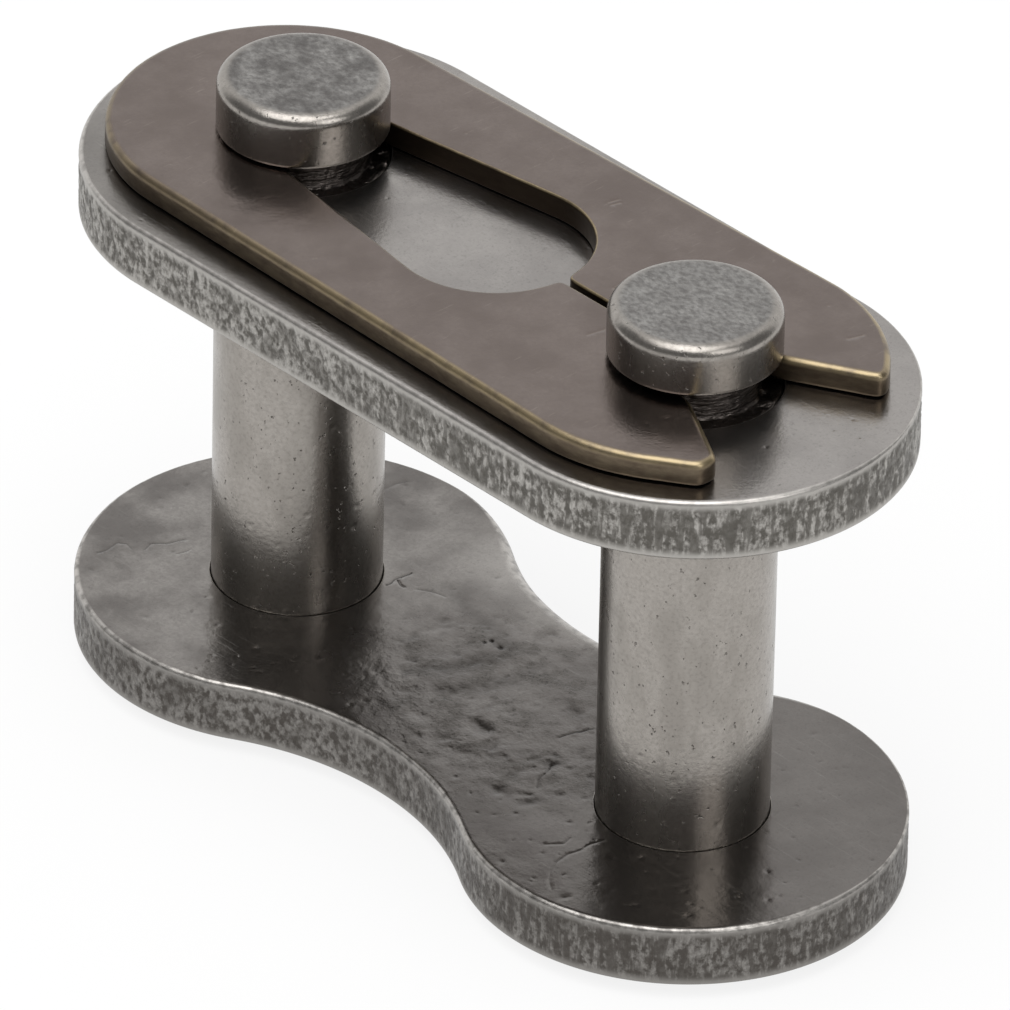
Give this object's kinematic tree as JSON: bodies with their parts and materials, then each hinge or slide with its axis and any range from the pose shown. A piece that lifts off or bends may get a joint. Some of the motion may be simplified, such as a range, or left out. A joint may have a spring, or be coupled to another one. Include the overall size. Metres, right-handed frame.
{
  "type": "roller chain connecting link",
  "caption": "Spring-clip connecting link for a roller chain: waisted base plate with riveted pins, slip-on cover plate and a flat spring clip in the pins' grooves.",
  "frame": {"origin": "midway between the two pins, level with the riveted pin ends under the base plate", "axes": "+Z along the pins from the base plate to the pin heads, +X from the clip's closed end to its open end"},
  "size_m": [0.0228, 0.01, 0.015],
  "materials": {
    "plate_steel": "stamped and tumbled carbon steel, satin grey",
    "pin_steel": "ground and hardened alloy steel",
    "clip_steel": "oiled spring steel, dark bronze grey"
  },
  "bodies": {
    "pin_plate": {"base_plate": "plate_steel", "closed_end_pin": "pin_steel", "open_end_pin": "pin_steel"},
    "cover": {"cover_plate": "plate_steel"},
    "clip": {"spring_clip": "clip_steel"}
  },
  "joints": [
    {"name": "cover_lift", "type": "slide", "parent": "pin_plate", "child": "cover", "axis": [0, 0, 1], "range_m": [0, 0.0145]},
    {"name": "clip_slide", "type": "slide", "parent": "cover", "child": "clip", "axis": [-1, 0, 0], "range_m": [0, 0.00623], "deforming": ["spring_clip"]}
  ]
}
